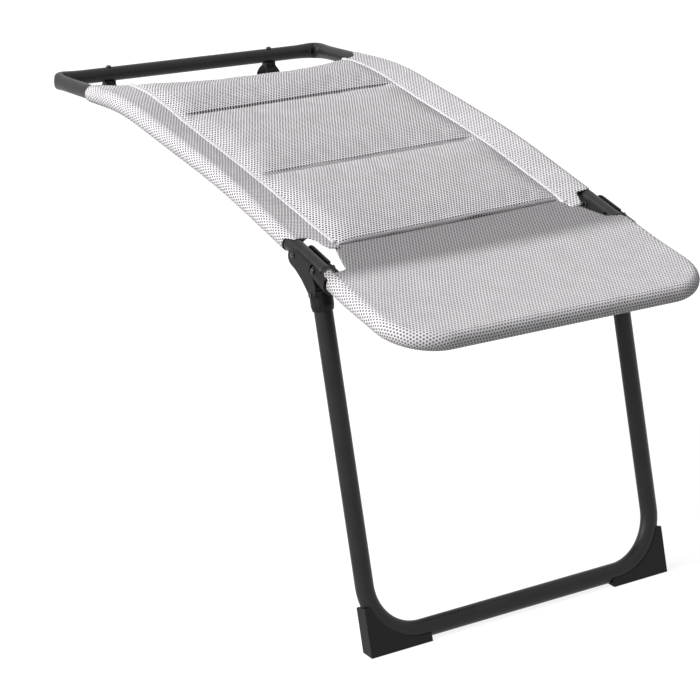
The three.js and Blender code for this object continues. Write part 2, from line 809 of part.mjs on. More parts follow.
for (const [word, side] of [['left', -1], ['right', 1]]) {
  const pivotRivet = rivet(pivotShankRadius, pivotHeadRadius, pivotHeadRise, rivetGrip).rotateZ(Math.PI / 2);
  const saddleRivet = rivet(rivetShankRadius, rivetHeadRadius, rivetHeadRise, rivetGrip)
    .rotateZ(Math.PI / 2)
    .translate(0, saddleRivetAlong, saddleRivetRise);
  footrest.add(framed(
    railFrame,
    side,
    part(`joint_spigot_${word}`, jointSpigot(), coatedTube),
    part(`rail_saddle_${word}`, saddle(), blackPlastic),
    part(`pivot_rivet_${word}`, pivotRivet, darkMetal),
    part(`saddle_rivet_${word}`, saddleRivet, darkMetal),
  ));

  const socket = part(`leg_socket_${word}`, legSocket(), blackPlastic);
  const socketRivet = rivet(rivetShankRadius, rivetHeadRadius, rivetHeadRise, rivetGrip).rotateZ(Math.PI / 2);
  const socketPin = part(`socket_rivet_${word}`, socketRivet, darkMetal);
  const screw = part(`foot_screw_${word}`, footScrew(), darkMetal);
  socket.position.x = side * halfSpacing;
  socketPin.position.set(side * halfSpacing, 0, socketRivetRise);
  screw.position.x = side * (halfSpacing - screwInset);
  legs.add(socket, socketPin, screw, part(`foot_${word}`, foot(side), blackPlastic));

  const clip = part(`chair_clip_${word}`, chairClip(), blackPlastic);
  const clipPin = part(`clip_rivet_${word}`, clipRivet(), darkMetal);
  for (const piece of [clip, clipPin]) {
    piece.position.set(side * clipSpacing / 2, rearEnd.y, rearEnd.z);
    footrest.add(piece);
  }
  footrest.add(part(`side_band_${word}`, sideBand(side), meshCloth));
}

footrest.add(legs);
footrest.add(part('rear_pad', pad(rearSeam, rearPadEnd), paddedCloth));
footrest.add(part('middle_pad', pad(middleSeam, rearSeam), paddedCloth));
footrest.add(part('front_pad', pad(frontSeam, middleSeam), paddedCloth));
footrest.add(part('front_cover', frontCover(), meshCloth));

footrest.updateMatrixWorld(true);
const box = new THREE.Box3().setFromObject(footrest, true);
const middle = box.getCenter(new THREE.Vector3());
footrest.position.set(-middle.x, -middle.y, -box.min.z);

export default footrest;
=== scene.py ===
"""Looks of the clip-on folding footrest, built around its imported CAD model."""
import json
import math

import bpy
import numpy as np
from mathutils import Matrix, Vector


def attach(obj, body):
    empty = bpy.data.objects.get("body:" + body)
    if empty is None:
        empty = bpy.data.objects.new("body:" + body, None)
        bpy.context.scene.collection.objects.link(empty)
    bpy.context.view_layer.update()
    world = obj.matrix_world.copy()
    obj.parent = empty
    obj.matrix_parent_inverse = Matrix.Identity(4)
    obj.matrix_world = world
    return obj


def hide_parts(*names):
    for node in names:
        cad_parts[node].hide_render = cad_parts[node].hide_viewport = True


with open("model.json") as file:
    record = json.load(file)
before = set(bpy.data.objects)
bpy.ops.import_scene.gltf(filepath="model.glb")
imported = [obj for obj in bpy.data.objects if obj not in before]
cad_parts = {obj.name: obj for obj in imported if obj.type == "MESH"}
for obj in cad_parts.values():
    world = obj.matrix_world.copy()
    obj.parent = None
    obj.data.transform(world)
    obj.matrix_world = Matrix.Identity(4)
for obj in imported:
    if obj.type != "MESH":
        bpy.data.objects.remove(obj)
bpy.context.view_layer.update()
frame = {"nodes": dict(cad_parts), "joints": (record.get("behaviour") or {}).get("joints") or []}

# Lengths are millimetres here and become metres where a mesh is made. Reach is measured from the
# foot bar, a station is a distance along the side line of the rails, starting at the front bar.
MM = 0.001
PIVOT = np.array(frame["joints"][0]["pos_m"]) / MM
PIVOT_REACH = 142.5
FOOT_BAR_Y = PIVOT[1] - PIVOT_REACH

# Frame loop
HALF = 202.5
RAIL = 9.5
FRONT_CORNER = 52.0
REAR_CORNER = 17.0
BUTT_ALONG = -51.0
CLIP_HALF = 124.0

# Side line of the rails: runs along reach and slopes in degrees, outwards from the pivot
EASE_RUN, RAIL_SLOPE = -102.5, 14.67
FRONT_RUN, FRONT_SLOPE = -105.5, 11.83
KNEE_RUN = 177.5
CREST_RUN, MIDDLE_SLOPE = 247.0, 9.785
REAR_RUN, REAR_SLOPE = 204.7, -1.511
EASE_RADIUS, KNEE_RADIUS, CREST_RADIUS = 600.0, 1500.0, 480.0

# Leg frame
LEG_HALF_WIDTH = 11.0
LEG_HALF_DEPTH = 9.0
LEG_BEND = 64.0
FOOT_BAR_HEIGHT = 12.5
PIVOT_SETBACK = 25.65
LEG_TUBE_DROP = 38.6
SOCKET_RIVET_DROP = 44.6

# Fabric
SEAM_HALF = 161.0
FRONT_SEAM = 148.5
MIDDLE_SEAM = 318.0
REAR_SEAM = 504.0
PAD_END = 633.0
SKEW = 0.045
SLEEVE = 10.7
CLOTH = 0.8
CREASE_HALF = 150.0


def unit(v):
    v = np.asarray(v, float)
    return v / np.linalg.norm(v, axis=-1, keepdims=True)


def smooth(low, high, value):
    t = np.clip((value - low) / (high - low), 0, 1)
    return t * t * (3 - 2 * t)


# Side line


def climb(start, run, degrees):
    return np.array([start[0] + run, start[1] + run * math.tan(math.radians(degrees))])


def fillet(before, corner, after, radius, steps):
    back, ahead = unit(before - corner), unit(after - corner)
    half = math.acos(float(np.dot(back, ahead))) / 2
    centre = corner + unit(back + ahead) * radius / math.sin(half)
    first = corner + back * radius / math.tan(half) - centre
    last = corner + ahead * radius / math.tan(half) - centre
    turn = math.pi - 2 * half
    t = np.linspace(0, 1, steps + 1)[:, None]
    return centre + (np.sin((1 - t) * turn) * first + np.sin(t * turn) * last) / math.sin(turn)


pivot_place = np.array([PIVOT_REACH, PIVOT[2]])
ease = climb(pivot_place, EASE_RUN, RAIL_SLOPE)
front_end = climb(ease, FRONT_RUN, FRONT_SLOPE)
knee = climb(pivot_place, KNEE_RUN, RAIL_SLOPE)
crest = climb(knee, CREST_RUN, MIDDLE_SLOPE)
rear_end = climb(crest, REAR_RUN, REAR_SLOPE)
LINE = np.vstack([
    [front_end],
    fillet(front_end, ease, knee, EASE_RADIUS, 12),
    fillet(ease, knee, crest, KNEE_RADIUS, 24),
    fillet(knee, crest, rear_end, CREST_RADIUS, 24),
    [rear_end],
])
STATION = np.concatenate([[0.0], np.cumsum(np.linalg.norm(np.diff(LINE, axis=0), axis=1))])
TANGENT = unit(np.gradient(LINE, axis=0))
LINE_LENGTH = STATION[-1]


def station(reach):
    return np.interp(reach, LINE[:, 0], STATION)


def ahead_at(s):
    """Unit vectors along the side line at stations s."""
    y = np.interp(s, STATION, TANGENT[:, 0])
    z = np.interp(s, STATION, TANGENT[:, 1])
    return unit(np.stack([np.zeros_like(y), y, z], -1))


def up_at(s):
    along = ahead_at(s)
    return np.stack([along[..., 0], -along[..., 2], along[..., 1]], -1)


def place(x, s, rise):
    """Points x across, at stations s, rise above the side line."""
    x, s, rise = np.broadcast_arrays(*(np.asarray(v, float) for v in (x, s, rise)))
    y = FOOT_BAR_Y + np.interp(s, STATION, LINE[:, 0])
    z = np.interp(s, STATION, LINE[:, 1])
    return np.stack([x, y, z], -1) + rise[..., None] * up_at(s)


PIVOT_STATION = float(station(PIVOT_REACH))


# (reach, rise) of the sling at its side seams: it sags between its front and its chair end
SHEET_LEVEL = (
    (150.0, 4.6), (220.0, 3.2), (325.0, 1.4), (475.0, 3.0),
    (550.0, 6.0), (585.0, 8.4), (620.0, 9.3),
)
LEVEL_BLUR = (-24, -8, 8, 24)
SEAM_BOW = 4.5


def sheet_level(s):
    reach, rise = np.array(SHEET_LEVEL).T
    reach = station(reach)
    return sum(np.interp(s + shift, reach, rise) for shift in LEVEL_BLUR) / len(LEVEL_BLUR)


def seam_half(s):
    """Half the distance between the side seams, which bow out a little."""
    front, rear = station(FRONT_SEAM), station(PAD_END)
    share = np.clip((s - front) / (rear - front), 0, 1)
    return SEAM_HALF + SEAM_BOW * np.sin(math.pi * share) ** 0.8


# The leg's own frame: x across, y to the rear, z up the leg
pivot_from_bar = np.array([PIVOT_REACH, PIVOT[2] - FOOT_BAR_HEIGHT])
leg_reach = float(np.hypot(*pivot_from_bar))
LEAN = math.atan2(*pivot_from_bar) - math.asin(PIVOT_SETBACK / leg_reach)
PIVOT_RISE = math.sqrt(leg_reach**2 - PIVOT_SETBACK**2)
LEG_ORIGIN = np.array([0.0, FOOT_BAR_Y, FOOT_BAR_HEIGHT])
LEG_AXES = np.array([
    [1, 0, 0],
    [0, math.cos(LEAN), -math.sin(LEAN)],
    [0, math.sin(LEAN), math.cos(LEAN)],
])


def on_leg(x, y, z):
    x, y, z = np.broadcast_arrays(*(np.asarray(v, float) for v in (x, y, z)))
    return LEG_ORIGIN + np.stack([x, y, z], -1) @ LEG_AXES


# Mesh helpers


def grid_faces(rows, columns, around=False, flip=False, first=0):
    """Quads of a grid of points, closed around its columns if asked."""
    r = np.arange(rows - 1)[:, None]
    c = np.arange(columns if around else columns - 1)[None, :]
    d = (c + 1) % columns
    quads = np.stack(np.broadcast_arrays(
        r * columns + c, r * columns + d, (r + 1) * columns + d, (r + 1) * columns + c
    ), -1).reshape(-1, 4) + first
    return (quads[:, ::-1] if flip else quads).tolist()


def mesh_object(name, points, faces, material, cloth=None):
    mesh = bpy.data.meshes.new(name)
    mesh.from_pydata((np.asarray(points).reshape(-1, 3) * MM).tolist(), [], faces)
    if cloth is not None:
        flat = np.asarray(cloth, np.float32).reshape(-1, 2)
        flat = np.hstack([flat, np.zeros((len(flat), 1), np.float32)])
        attribute = mesh.attributes.new("cloth", "FLOAT_VECTOR", "POINT")
        attribute.data.foreach_set("vector", flat.ravel())
    mesh.shade_smooth()
    mesh.materials.append(material)
    mesh.update()
    piece = bpy.data.objects.new(name, mesh)
    bpy.context.scene.collection.objects.link(piece)
    return piece


def finished(piece, body, slot, *replaced):
    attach(piece, body)
    if replaced:
        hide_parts(*replaced)
    return piece


def circle(across, within, sides):
    angle = np.linspace(0, 2 * math.pi, sides, endpoint=False)
    return np.stack([across * np.cos(angle), within * np.sin(angle)], -1)


def swept(path, ups, section):
    """Rings of a section, given as (side, up) points, along a path. Side is path direction x up."""
    along = unit(np.gradient(path, axis=0))
    side = unit(np.cross(along, ups))
    up = np.cross(side, along)
    section = np.broadcast_to(section, (len(path),) + np.shape(section)[-2:])
    return (
        path[:, None]
        + section[..., :1] * side[:, None]
        + section[..., 1:] * up[:, None]
    )


def tube(name, path, ups, section, material):
    rings = swept(path, ups, section)
    rows, columns = rings.shape[:2]
    faces = grid_faces(rows, columns, around=True)
    faces.append(list(range(columns))[::-1])
    faces.append([(rows - 1) * columns + c for c in range(columns)])
    return mesh_object(name, rings, faces, material)


def lathe_points(profile, sides, centre, axis):
    """Points of a profile of (radius, height) turned about an axis through a centre."""
    axis = unit(axis)
    first = unit(np.cross(axis, [0.3, 0.5, 0.8]))
    second = np.cross(axis, first)
    angle = np.linspace(0, 2 * math.pi, sides, endpoint=False)[None, :, None]
    profile = np.asarray(profile, float)
    radius, height = profile[:, 0, None, None], profile[:, 1, None, None]
    ring = np.cos(angle) * first + np.sin(angle) * second
    return np.asarray(centre, float) + radius * ring + height * axis


def turned(name, profile, centre, axis, material, sides=40):
    points = lathe_points(profile, sides, centre, axis)
    rows = len(profile)
    faces = grid_faces(rows, sides, around=True)
    faces.append(list(range(sides))[::-1])
    faces.append([(rows - 1) * sides + c for c in range(sides)])
    return mesh_object(name, points, faces, material)


CORNER_SHARE = 0.42


def rounded(points, steps):
    """A profile with its corners rounded by quadratic curves, its ends kept."""
    points = np.asarray(points, float)
    out = [points[:1]]
    t = np.linspace(0, 1, steps)[:, None]
    for before, corner, after in zip(points[:-2], points[1:-1], points[2:]):
        a = corner + (before - corner) * CORNER_SHARE
        b = corner + (after - corner) * CORNER_SHARE
        out.append((1 - t) ** 2 * a + 2 * t * (1 - t) * corner + t**2 * b)
    out.append(points[-1:])
    return np.vstack(out)


def thickened(piece, thickness):
    solid = piece.modifiers.new("thickness", "SOLIDIFY")
    solid.thickness = thickness * MM
    solid.offset = 0.0


STITCH_PITCH = 4.0
STITCH_LENGTH = 2.7
THREAD = 0.42


def stitches(name, lines, material):
    """Short threads along lines of (points, ups), thinner where they dip into the cloth."""
    sides, rings = 6, 5
    lobe = np.sin(np.linspace(0.12, 1, rings) * math.pi * 0.94)
    points, faces = [], []
    for path, ups in lines:
        run = np.concatenate([[0], np.cumsum(np.linalg.norm(np.diff(path, axis=0), axis=1))])
        margin = STITCH_PITCH / 2
        for middle in np.arange(margin, run[-1] - margin, STITCH_PITCH):
            at = middle + STITCH_LENGTH * np.linspace(-0.5, 0.5, rings)
            spine = np.stack([np.interp(at, run, path[:, k]) for k in range(3)], -1)
            up = np.stack([np.interp(at, run, ups[:, k]) for k in range(3)], -1)
            spine = spine + up * (THREAD * 0.6 * lobe[:, None] - THREAD * 0.5)
            ring = circle(THREAD, THREAD * 0.8, sides) * (0.35 + 0.65 * lobe[:, None, None])
            first = sides * rings * len(points)
            points.append(swept(spine, up, ring).reshape(-1, 3))
            faces += grid_faces(rings, sides, around=True, first=first)
            faces.append([first + c for c in range(sides)][::-1])
            faces.append([first + (rings - 1) * sides + c for c in range(sides)])
    return mesh_object(name, np.vstack(points), faces, material)


# Materials


class Tree:
    """A material's node tree, with the coordinates and the shader that its recipe uses."""

    def __init__(self, name):
        self.material = bpy.data.materials.new(name)
        self.material.use_nodes = True
        self.tree = self.material.node_tree
        self.shader = self.tree.nodes["Principled BSDF"]

    def add(self, kind, inputs=(), output=0, **settings):
        node = self.tree.nodes.new("ShaderNode" + kind)
        for key, value in settings.items():
            setattr(node, key, value)
        for key, value in dict(inputs).items():
            self.give(node.inputs[key], value)
        return node.outputs[output]

    def give(self, socket, value):
        if isinstance(value, bpy.types.NodeSocket):
            self.tree.links.new(value, socket)
        else:
            socket.default_value = value

    def math(self, operation, a, b=0.0):
        return self.add("Math", {0: a, 1: b}, operation=operation)

    def ramp(self, value, low, high, to_low=0.0, to_high=1.0):
        return self.add("MapRange", {
            "Value": value, "From Min": low, "From Max": high, "To Min": to_low, "To Max": to_high,
        }, interpolation_type="SMOOTHSTEP")

    def mix(self, share, a, b):
        node = self.tree.nodes.new("ShaderNodeMix")
        node.data_type = "RGBA"
        self.give(node.inputs[0], share)
        self.give(node.inputs[6], a)
        self.give(node.inputs[7], b)
        return node.outputs[2]

    def noise(self, scale, detail=2.0, place=None, roughness=0.5):
        if place is None:
            place = self.place()
        return self.add("TexNoise", {
            "Vector": place, "Scale": scale, "Detail": detail, "Roughness": roughness,
        })

    def place(self):
        return self.add("TexCoord", output="Object")

    def bump(self, height, strength, distance):
        return self.add("Bump", {"Height": height, "Strength": strength, "Distance": distance})

    def set(self, **values):
        for key, value in values.items():
            self.give(self.shader.inputs[key.replace("_", " ")], value)
        return self.material


def grey(level, tint=0.0):
    """A linear grey, bluer with tint."""
    return (level * (1 - tint), level * (1 - tint / 2), level * (1 + tint), 1.0)


def cloth_grey(level):
    """The cloth's light grey, a touch warm and violet."""
    return (level * 1.01, level * 0.976, level * 1.012, 1.0)


# The mesh's holes lie on a hexagonal lattice, given by its three waves in cycles per millimetre.
# Values of the waves' sum between the ends of HOLE_RAMP are the edges of the holes.
LATTICE = ((0.2538, 0.1462), (0.2538, -0.1462), (0.0, 0.2924))
HOLE_RAMP = (-0.25, 0.85)
STRANDS = (1.14, 0.88)
WEAVE_DRIFT = 1.6
# Stations over which the cover's threads and holes turn darker towards the pads' seam: painted
# shade.
PAINTED_SHADE_ZONE = (float(station(58.0)), float(station(92.0)))
TURN = 2 * math.pi


def lattice(tree, place):
    waves = [
        tree.math("COSINE", tree.add("VectorMath", {
            0: place, 1: (TURN * k[0], TURN * k[1], 0.0),
        }, output="Value", operation="DOT_PRODUCT"))
        for k in LATTICE
    ]
    return tree.math("ADD", tree.math("ADD", waves[0], waves[1]), waves[2])


def cloth_material(name, threads, hole, painted_shade_threads=None, painted_shade_hole=None):
    """Knitted mesh: light threads round holes. Given painted-shade colours, threads and holes are
    painted darker towards the pads' seam: painted shade.
    """
    t = Tree(name)
    flat = t.add("Attribute", output="Vector", attribute_name="cloth")
    drift = t.add("VectorMath", {
        0: t.add("TexNoise", {"Vector": flat, "Scale": 0.025, "Detail": 1.0}, output="Color"),
        1: (0.5, 0.5, 0.5),
    }, operation="SUBTRACT")
    flat = t.add("VectorMath", {
        0: drift, 1: (WEAVE_DRIFT, WEAVE_DRIFT, 0.0), 2: flat,
    }, operation="MULTIPLY_ADD")
    holes = t.ramp(lattice(t, flat), *HOLE_RAMP)
    strands = t.math("SINE", t.add("VectorMath", {
        0: flat, 1: (TURN * STRANDS[0], TURN * STRANDS[1], 0.0),
    }, output="Value", operation="DOT_PRODUCT"))
    mottle = t.noise(0.035, 3.0, flat, 0.6)
    lint = t.noise(1.1, 2.0, flat, 0.7)
    tone = t.math("ADD", t.math("MULTIPLY", mottle, 0.5), t.math("MULTIPLY", lint, 0.5))
    light = t.mix(t.ramp(tone, 0.3, 0.7), cloth_grey(threads * 0.9), cloth_grey(threads * 1.08))
    below = cloth_grey(hole)
    if painted_shade_threads is not None:
        # Painted shade: threads and holes darken over the zone's stations and stay dark up to the
        # seam.
        along = t.add("SeparateXYZ", {0: flat}, output=1)
        zone = t.ramp(along, *PAINTED_SHADE_ZONE)
        light = t.mix(zone, light, cloth_grey(painted_shade_threads))
        below = t.mix(zone, below, cloth_grey(painted_shade_hole))
    colour = t.mix(holes, light, below)
    height = t.math("SUBTRACT", t.math("MULTIPLY", strands, 0.10), holes)
    normal = t.bump(height, 0.4, 0.45 * MM)
    rough = t.ramp(lint, 0.3, 0.7, 0.82, 0.95)
    return t.set(Base_Color=colour, Normal=normal, Roughness=rough, Specular_IOR_Level=0.15,
                 Sheen_Weight=0.05, Sheen_Roughness=0.5)


def coat_material(name, low, high, roughness):
    """Satin powder coat: fine orange peel, slightly uneven gloss."""
    t = Tree(name)
    peel = t.noise(900.0, 2.0)
    cloud = t.noise(24.0, 4.0)
    mottle = t.math("ADD", t.math("MULTIPLY", peel, 0.35), t.math("MULTIPLY", cloud, 0.65))
    tone = t.ramp(mottle, 0.35, 0.65)
    normal = t.bump(peel, 0.16, 0.08 * MM)
    rough = t.ramp(cloud, 0.3, 0.7, roughness - 0.05, roughness + 0.06)
    return t.set(Base_Color=t.mix(tone, grey(low, 0.03), grey(high, 0.03)), Normal=normal,
                 Roughness=rough, Specular_IOR_Level=0.26)


def plastic_material(name, low, high):
    """Moulded black plastic: fine spark grain, rubbed paler along its edges."""
    t = Tree(name)
    grain = t.noise(2600.0, 2.0, roughness=0.6)
    cloud = t.noise(60.0, 3.0)
    edge = t.add("NewGeometry", output="Pointiness")
    worn = t.math("MULTIPLY", t.ramp(edge, 0.52, 0.6), t.ramp(cloud, 0.35, 0.7, 0.25, 1.0))
    body = t.mix(t.ramp(cloud, 0.3, 0.7), grey(low, 0.01), grey(high, 0.01))
    colour = t.mix(worn, body, grey(high * 2.2, 0.01))
    normal = t.bump(grain, 0.22, 0.06 * MM)
    rough = t.ramp(cloud, 0.3, 0.7, 0.42, 0.52)
    return t.set(Base_Color=colour, Normal=normal, Roughness=rough, Specular_IOR_Level=0.2)


def metal_material(name, low, high):
    """Blackened steel with rubbed spots."""
    t = Tree(name)
    grain = t.noise(1500.0, 3.0)
    rub = t.noise(420.0, 2.0)
    colour = t.mix(t.ramp(rub, 0.35, 0.7), grey(low, 0.01), grey(high, 0.01))
    return t.set(Base_Color=colour, Normal=t.bump(grain, 0.12, 0.04 * MM), Metallic=0.85,
                 Roughness=t.ramp(grain, 0.3, 0.7, 0.3, 0.46))


pad_cloth = cloth_material("pad_cloth", 0.90, 0.05)
band_cloth = cloth_material("band_cloth", 0.90, 0.15)
# The seam ridges' cloth is a lighter copy of the band's cloth: a painted highlight along the seams.
ridge_cloth_painted_highlight = cloth_material("ridge_cloth_painted_highlight", 0.94, 0.60)
# The cover's cloth carries painted shade in front of the pads' seam.
cover_cloth = cloth_material("cover_cloth", 0.90, 0.20, painted_shade_threads=0.44, painted_shade_hole=0.06)
coat = coat_material("tube_coat", 0.016, 0.024, 0.38)
plastic = plastic_material("black_plastic", 0.005, 0.009)
metal = metal_material("dark_metal", 0.03, 0.09)


def thread_material():
    t = Tree("seam_thread")
    twist = t.noise(1800.0, 1.0)
    colour = t.mix(t.ramp(twist, 0.3, 0.7), grey(0.66, 0.01), grey(0.78, 0.006))
    return t.set(Base_Color=colour, Normal=t.bump(twist, 0.3, 0.1 * MM),
                 Roughness=t.ramp(twist, 0.3, 0.7, 0.7, 0.85), Specular_IOR_Level=0.25)


thread = thread_material()

# Frame tubes. The front and rear tube meet in a butt above each saddle.

TUBE_STEP = 6.0
BUTT = PIVOT_STATION + BUTT_ALONG
BUTT_GAP = 0.2


def bend(centre, radius, from_degrees, to_degrees, steps):
    angle = np.radians(np.linspace(from_degrees, to_degrees, steps + 1))
    return np.stack([centre[0] + radius * np.cos(angle), centre[1] + radius * np.sin(angle)], -1)


def straight(x, from_station, to_station):
    count = max(2, int(abs(to_station - from_station) / TUBE_STEP))
    s = np.linspace(from_station, to_station, count)
    return np.stack([np.full_like(s, x), s], -1)


# The rear bends' crushing: heights of the lips, the pinch and the fold on the bend's outer side,
# fill on its inner side, and how much taller the tube gets
LIP_RISE = 1.4
PINCH = 1.2
FOLD = 2.4
INNER_FILL = 4.6
INNER_HOLLOW = 0.5
TALLER = 0.17
BEND_SPREAD = 16.0


def crushed(flat, share):
    """Sections of the rear tube, crushed through its bends. Share runs from 0 to 1 in each bend."""
    base = circle(RAIL, RAIL, 48)
    inward = np.clip(base[:, 0] / RAIL, 0, 1)
    outward = np.clip(-base[:, 0] / RAIL, 0, 1)
    to_bend = np.hypot(np.abs(flat[:, 0]) - (HALF - REAR_CORNER / 2),
                       flat[:, 1] - (LINE_LENGTH - REAR_CORNER / 2))
    near = np.exp(-(to_bend / BEND_SPREAD) ** 2)[:, None]
    turn = np.sin(math.pi * share)[:, None]
    fold = np.exp(-((share - 0.5) / 0.12) ** 2)[:, None] * (share > 0)[:, None]
    lip = (np.exp(-((share - 0.12) / 0.1) ** 2) + np.exp(-((share - 0.88) / 0.1) ** 2))[:, None]
    lip = lip * (share > 0)[:, None]
    section = np.repeat(base[None], len(flat), 0)
    section[..., 0] += (LIP_RISE * lip - PINCH * turn - FOLD * fold) * inward**2
    section[..., 0] += INNER_FILL * turn * outward**5
    section[..., 0] -= INNER_HOLLOW * turn * (outward > 0) * (1 - outward)
    section[..., 1] *= 1 + TALLER * near
    return section


def rear_tube():
    """Side rails and chair-end bar. The tight rear bends are crushed on their inner side."""
    steps = 28
    side_end = LINE_LENGTH - REAR_CORNER
    inset = HALF - REAR_CORNER
    left = bend((-inset, side_end), REAR_CORNER, 180, 90, steps)
    right = bend((inset, side_end), REAR_CORNER, 90, 0, steps)
    rail = straight(-HALF, BUTT + BUTT_GAP, side_end - 1)
    bar = np.stack([np.linspace(-inset + 1, inset - 1, 90), np.full(90, LINE_LENGTH)], -1)
    flat = np.vstack([rail, left, bar, right, (rail * [-1, 1])[::-1]])
    share = np.zeros(len(flat))
    for start in (len(rail), len(rail) + len(left) + len(bar)):
        share[start:start + steps + 1] = np.linspace(0, 1, steps + 1)
    path = place(flat[:, 0], flat[:, 1], 0)
    return tube("rear_frame_tube_coated", path, up_at(flat[:, 1]), crushed(flat, share), coat)


def front_tube():
    """From the right butt round the front to the left butt."""
    radius = FRONT_CORNER
    inset = HALF - radius
    rail = straight(HALF, BUTT - BUTT_GAP, radius + 1)
    right = bend((inset, radius), radius, 0, -90, 24)
    left = bend((-inset, radius), radius, -90, -180, 24)
    bar = np.stack([np.linspace(inset - 1, -inset + 1, 70), np.zeros(70)], -1)
    flat = np.vstack([rail, right, bar, left, (rail * [-1, 1])[::-1]])
    path = place(flat[:, 0], flat[:, 1], 0)
    return tube("front_frame_tube_coated", path, up_at(flat[:, 1]), circle(RAIL, RAIL, 40), coat)


def leg_tube():
    top = PIVOT_RISE - LEG_TUBE_DROP
    inset = HALF - LEG_BEND
    side = np.stack([np.full(50, HALF), np.linspace(top, LEG_BEND + 1, 50)], -1)
    right = bend((inset, LEG_BEND), LEG_BEND, 0, -90, 28)
    left = bend((-inset, LEG_BEND), LEG_BEND, -90, -180, 28)
    bar = np.stack([np.linspace(inset - 1, -inset + 1, 50), np.zeros(50)], -1)
    flat = np.vstack([side, right, bar, left, (side * [-1, 1])[::-1]])
    path = on_leg(flat[:, 0], 0, flat[:, 1])
    ups = np.broadcast_to(LEG_AXES[1], path.shape)
    return tube("leg_tube_coated", path, ups, circle(LEG_HALF_WIDTH, LEG_HALF_DEPTH, 44), coat)


finished(rear_tube(), "frame", "coated_tube", "rear_frame_tube")
finished(front_tube(), "frame", "coated_tube", "front_frame_tube")
finished(leg_tube(), "leg", "coated_tube", "leg_tube")

# Rivets. A head is half of a profile, from the shank out to the middle of the head, given as
# (radius, height along the axis). The seat is the head's distance from the rivet's middle.

GRIP = 13.7
SADDLE_RIVET_AHEAD = 42.0
SADDLE_RIVET_UP = 3.0
CLIP_RIVET_BELOW = 12.7
CLIP_RIVET_ABOVE = RAIL + 0.2
HEAD_EDGE = 0.25
AXIS_RADIUS = 0.01
BORE_DEPTH = 2.5


def dome(radius, rise, seat, sign):
    """A rounded head."""
    crown = [
        (radius * math.cos(a), sign * (seat + HEAD_EDGE + (rise - HEAD_EDGE) * math.sin(a)))
        for a in np.linspace(0, math.pi / 2, 9)
    ]
    return [(radius * 0.96, sign * seat), *crown[:-1], (AXIS_RADIUS, sign * (seat + rise))]


def eyelet(radius, rise, seat, sign):
    """A rolled ring round an open bore."""
    angle = np.linspace(0, math.pi, 11)
    middle, half = radius * 0.78, radius * 0.26
    ring = [(middle + half * math.cos(a), sign * (seat + rise * math.sin(a))) for a in angle]
    floor = sign * (seat - BORE_DEPTH)
    return [*ring, (middle - half, floor), (AXIS_RADIUS, floor)]


def pin(name, shank, low, high, centre, axis, body, node):
    profile = [*low[::-1], (shank, low[0][1]), (shank, high[0][1]), *high]
    piece = turned(name, profile, centre, axis, metal)
    return finished(piece, body, "dark_metal", node)


rail_ahead = ahead_at(np.array(PIVOT_STATION))
rail_up = up_at(np.array(PIVOT_STATION))
for word, side in (("left", -1), ("right", 1)):
    outward = (side, 0, 0)
    at_pivot = np.array([side * HALF, PIVOT[1], PIVOT[2]])
    at_saddle = at_pivot - SADDLE_RIVET_AHEAD * rail_ahead + SADDLE_RIVET_UP * rail_up
    at_socket = on_leg(side * HALF, 0, PIVOT_RISE - SOCKET_RIVET_DROP)
    at_clip = place(side * CLIP_HALF, LINE_LENGTH, 0)
    small_ends = dome(3.3, 1.2, GRIP, -1), dome(3.3, 1.2, GRIP, 1)
    pin(f"pivot_rivet_{word}_head", 2.5, eyelet(4.3, 1.1, GRIP, -1), dome(3.8, 1.3, GRIP, 1),
        at_pivot, outward, "frame", f"pivot_rivet_{word}")
    pin(f"saddle_rivet_{word}_head", 1.8, *small_ends, at_saddle, outward, "frame",
        f"saddle_rivet_{word}")
    pin(f"socket_rivet_{word}_head", 1.8, *small_ends, at_socket, outward, "leg",
        f"socket_rivet_{word}")
    pin(f"clip_rivet_{word}_head", 2.1, dome(3.6, 1.6, CLIP_RIVET_BELOW, -1),
        dome(3.6, 2.5, CLIP_RIVET_ABOVE, 1), at_clip, (0, 0, 1), "frame", f"clip_rivet_{word}")

# Moulded and hidden parts keep their CAD shape. Their edges are eased as on a moulding.


WELD = 0.01


def moulded(node, material, voxel, smoothing):
    piece = frame["nodes"][node]
    for slot in piece.material_slots:
        slot.material = material
    weld = piece.modifiers.new("weld", "WELD")
    weld.merge_threshold = WELD * MM
    remesh = piece.modifiers.new("skin", "REMESH")
    remesh.mode = "VOXEL"
    remesh.voxel_size = voxel * MM
    remesh.use_smooth_shade = True
    ease_edges = piece.modifiers.new("eased_edges", "SMOOTH")
    ease_edges.factor = 0.5
    ease_edges.iterations = smoothing


voxel = 0.5
for word in ("left", "right"):
    for node in ("leg_socket", "rail_saddle", "foot", "chair_clip"):
        moulded(f"{node}_{word}", plastic, voxel, 6)
    moulded(f"joint_spigot_{word}", coat, 1.0, 2)
    moulded(f"foot_screw_{word}", metal, 0.5, 3)

# Padded panel

QUILT_CELL = 5.0
LIP_ROWS = (0.0, 0.4, 1.0, 2.2, 4.4, 8.0)
REST_ROWS = (8.0, 4.4, 2.2, 0.9, 0.0)
# Heights of the skins above the sling's level: at the seams, and what the filling adds
SKIN_TOP, PAD_TOP = 0.6, 7.2
SKIN_UNDER, PAD_UNDER = 0.9, 4.0
SIDE_SLOPE = 13.0
HEM_SLOPE = 5.0
BEYOND_HEM = 60.0
BORDER_INSET = 0.8
# The creases fade out over this far either side of CREASE_HALF
CREASE_FADE_OUT, CREASE_FADE_IN = 9.0, 5.0
# The rear edge hangs freely: from FREE_FROM on it sags and bows in
FREE_FROM = 540.0
MIDDLE_SAG = 1.0
REAR_SAG = 5.5
REAR_BOW = 15.0
SEWN_AHEAD, SEWN_BEHIND, SEWN_SIDE = 2.3, 1.0, 4.0
PUFF_TOP, PUFF_UNDER = 2.6, 0.8
QUILT_SEAMS = [float(station(r)) for r in (FRONT_SEAM, MIDDLE_SEAM, REAR_SEAM, PAD_END)]


